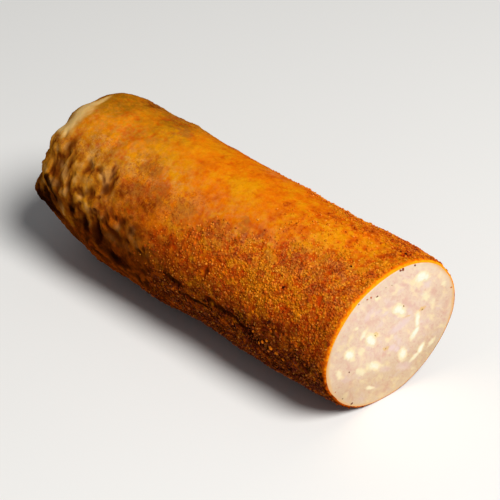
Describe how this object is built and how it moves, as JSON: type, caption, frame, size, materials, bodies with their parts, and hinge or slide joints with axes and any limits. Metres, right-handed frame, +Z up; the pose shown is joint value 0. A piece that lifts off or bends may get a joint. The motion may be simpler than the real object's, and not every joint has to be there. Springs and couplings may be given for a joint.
{
  "type": "chicken sausage",
  "caption": "Thick chicken sausage in a browned spice crust, gathered and domed at one end and cut flat at the other to show pink meat with pale chunks.",
  "frame": {"origin": "on the surface it rests on, under the middle of the sausage's box", "axes": "+X along the sausage, towards the cut face; +Z up; the gathered end faces -X"},
  "size_m": [0.1862, 0.071, 0.0702],
  "materials": {
    "spice_crust": "slightly moist crust of ground paprika, curry and pepper on a browned casing",
    "meat": "moist cut face of fine pink chicken meat with cream-white chunks"
  },
  "bodies": {
    "root": {"sausage": "spice_crust"}
  },
  "joints": []
}
